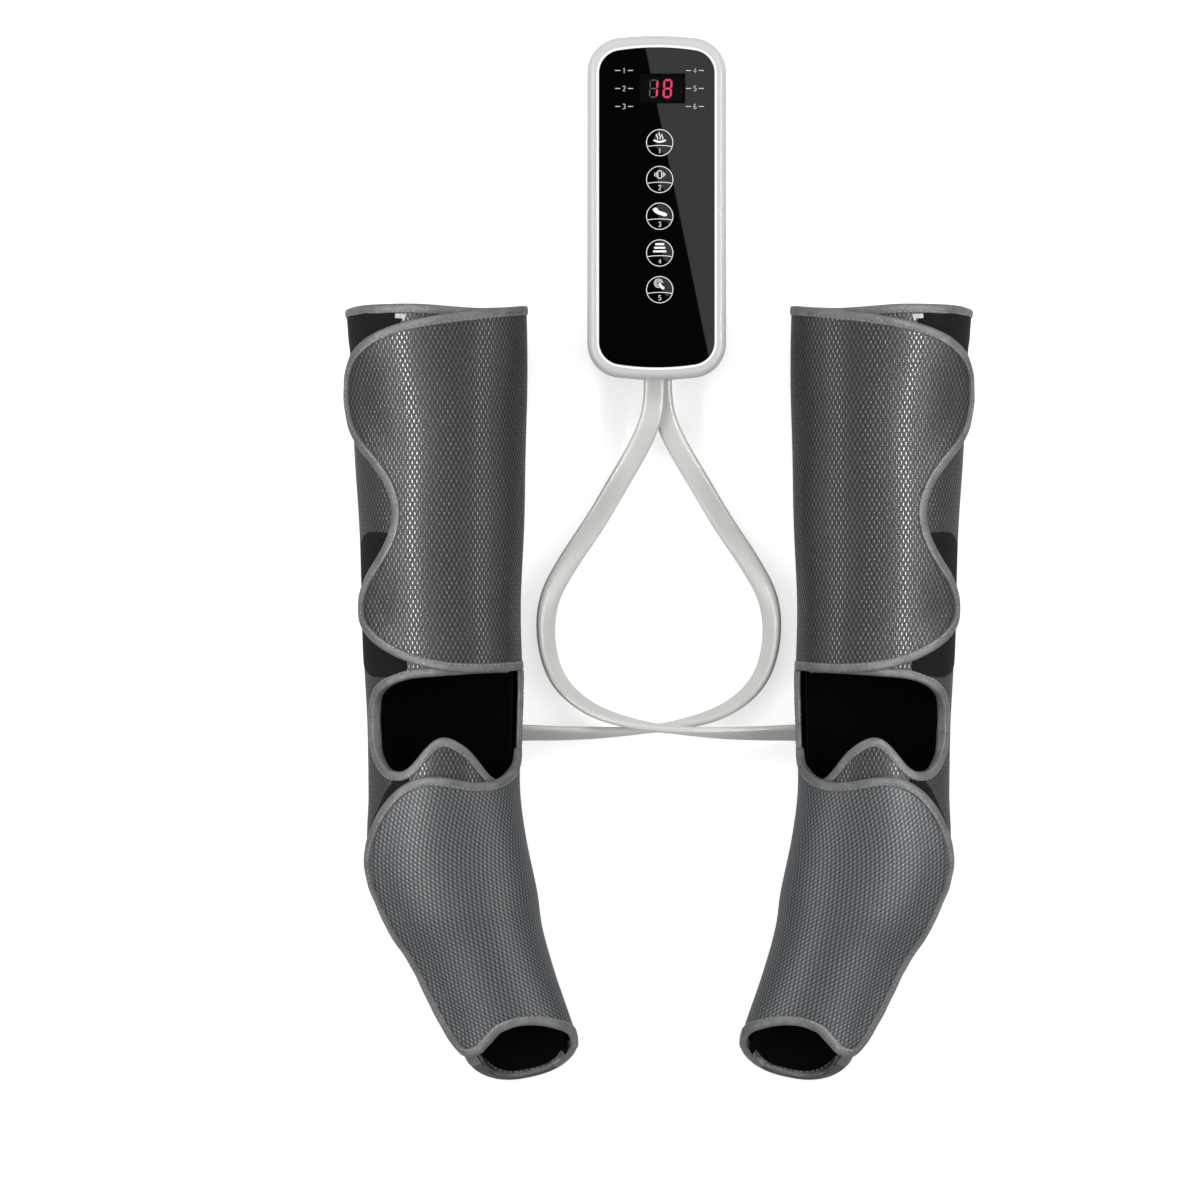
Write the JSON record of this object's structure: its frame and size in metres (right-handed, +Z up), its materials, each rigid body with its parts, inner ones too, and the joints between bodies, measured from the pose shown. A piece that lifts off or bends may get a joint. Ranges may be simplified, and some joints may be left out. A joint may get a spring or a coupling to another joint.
{
  "type": "leg compression massager",
  "caption": "Air compression leg massager: handheld pump controller with keys and display, flat hoses, and a pair of mesh calf and foot wraps with opening flaps.",
  "frame": {"origin": "on the floor, under the middle of the whole set as it lies", "axes": "+Z up, +Y from the toes towards the controller, +X towards the right sleeve as seen from above"},
  "size_m": [0.41, 0.6798, 0.0983],
  "materials": {
    "white_shell": "satin moulded ABS",
    "rear_shell": "fine matt moulded ABS",
    "gloss_panel": "polished black acrylic",
    "key_cap": "polished black with a white printed ring",
    "smoked_window": "smoked clear",
    "led_body": "black",
    "led_lit": "lit red",
    "board": "green solder mask",
    "component": "matt black",
    "switch": "matt black",
    "steel": "plain",
    "pump_plastic": "matt black",
    "motor_can": "satin",
    "soft_rubber": "matt",
    "foam": "open foam",
    "valve": "white",
    "clear_tube": "soft translucent",
    "hose": "smooth light grey PVC",
    "grommet": "light grey",
    "mesh_fabric": "dark grey spacer mesh",
    "lining_fabric": "black brushed lining",
    "hook_tape": "black hook tape",
    "airbag": "coated nylon",
    "heater": "film",
    "port_plastic": "light grey"
  },
  "bodies": {
    "root": {"front_bezel": "white_shell", "rear_cover": "rear_shell", "touch_panel": "gloss_panel", "display_window": "smoked_window", "led_display": "led_body", "display_segments": "led_lit", "key_switches": "switch", "main_circuit_board": "board", "board_components": "component", "buzzer": "component", "board_screws": "steel", "case_screws": "steel", "rubber_feet": "soft_rubber", "pump_housing": "pump_plastic", "pump_diaphragm": "soft_rubber", "pump_head": "pump_plastic", "pump_motor": "motor_can", "pump_foam_mounts": "foam", "air_manifold": "pump_plastic", "solenoid_valves": "valve", "inner_tubes": "clear_tube", "hose_grommet": "grommet", "dc_inlet": "component", "air_hose_left": "hose", "air_hose_right": "hose", "back_panel_left": "mesh_fabric", "back_panel_right": "mesh_fabric", "back_lining_left": "lining_fabric", "back_lining_right": "lining_fabric", "foot_airbag_left": "airbag", "foot_airbag_right": "airbag", "calf_airbag_upper_left": "airbag", "calf_airbag_upper_right": "airbag", "calf_airbag_lower_left": "airbag", "calf_airbag_lower_right": "airbag", "heating_pad_left": "heater", "heating_pad_right": "heater", "vibration_motor_left": "steel", "vibration_motor_right": "steel", "hook_patches_left": "hook_tape", "hook_patches_right": "hook_tape", "air_port_left": "port_plastic", "air_port_right": "port_plastic"},
    "key_1": {"key_1": "key_cap"},
    "key_2": {"key_2": "key_cap"},
    "key_3": {"key_3": "key_cap"},
    "key_4": {"key_4": "key_cap"},
    "key_5": {"key_5": "key_cap"},
    "pump_crank": {"pump_crank": "steel"},
    "calf_flap_left": {"calf_flap_left": "mesh_fabric", "calf_flap_lining_left": "lining_fabric"},
    "foot_flap_left": {"foot_flap_left": "mesh_fabric", "foot_flap_lining_left": "lining_fabric"},
    "vibration_weight_left": {"vibration_weight_left": "steel"},
    "calf_flap_right": {"calf_flap_right": "mesh_fabric", "calf_flap_lining_right": "lining_fabric"},
    "foot_flap_right": {"foot_flap_right": "mesh_fabric", "foot_flap_lining_right": "lining_fabric"},
    "vibration_weight_right": {"vibration_weight_right": "steel"}
  },
  "joints": [
    {"name": "key_1_press", "type": "slide", "parent": "root", "child": "key_1", "axis": [0, 0, -1], "range_m": [0, 0.0008], "stiffness_N_per_m": 900, "springref_m": -0.0002},
    {"name": "key_2_press", "type": "slide", "parent": "root", "child": "key_2", "axis": [0, 0, -1], "range_m": [0, 0.0008], "stiffness_N_per_m": 900, "springref_m": -0.0002},
    {"name": "key_3_press", "type": "slide", "parent": "root", "child": "key_3", "axis": [0, 0, -1], "range_m": [0, 0.0008], "stiffness_N_per_m": 900, "springref_m": -0.0002},
    {"name": "key_4_press", "type": "slide", "parent": "root", "child": "key_4", "axis": [0, 0, -1], "range_m": [0, 0.0008], "stiffness_N_per_m": 900, "springref_m": -0.0002},
    {"name": "key_5_press", "type": "slide", "parent": "root", "child": "key_5", "axis": [0, 0, -1], "range_m": [0, 0.0008], "stiffness_N_per_m": 900, "springref_m": -0.0002},
    {"name": "pump_crank_spin", "type": "hinge", "parent": "root", "child": "pump_crank", "pos_m": [0.0166, 0.2207, 0.0148], "axis": [0, 1, 0], "continuous": true},
    {"name": "calf_flap_left_hinge", "type": "hinge", "parent": "root", "child": "calf_flap_left", "pos_m": [-0.0842, 0.165, 0.04892], "axis": [0.0114, 0.9997, 0.0202], "range_deg": [0, 105]},
    {"name": "foot_flap_left_hinge", "type": "hinge", "parent": "root", "child": "foot_flap_left", "pos_m": [-0.08981, -0.13911, 0.04333], "axis": [-0.2069, 0.9755, 0.0749], "range_deg": [0, 100]},
    {"name": "vibration_weight_left_spin", "type": "hinge", "parent": "root", "child": "vibration_weight_left", "pos_m": [-0.1287, -0.227, 0.0043], "axis": [0, 0, 1], "continuous": true},
    {"name": "calf_flap_right_hinge", "type": "hinge", "parent": "root", "child": "calf_flap_right", "pos_m": [0.0842, 0.165, 0.04892], "axis": [0.0114, -0.9997, -0.0202], "range_deg": [0, 105]},
    {"name": "foot_flap_right_hinge", "type": "hinge", "parent": "root", "child": "foot_flap_right", "pos_m": [0.08981, -0.13911, 0.04333], "axis": [-0.2069, -0.9755, -0.0749], "range_deg": [0, 100]},
    {"name": "vibration_weight_right_spin", "type": "hinge", "parent": "root", "child": "vibration_weight_right", "pos_m": [0.1287, -0.227, 0.0043], "axis": [0, 0, 1], "continuous": true}
  ]
}
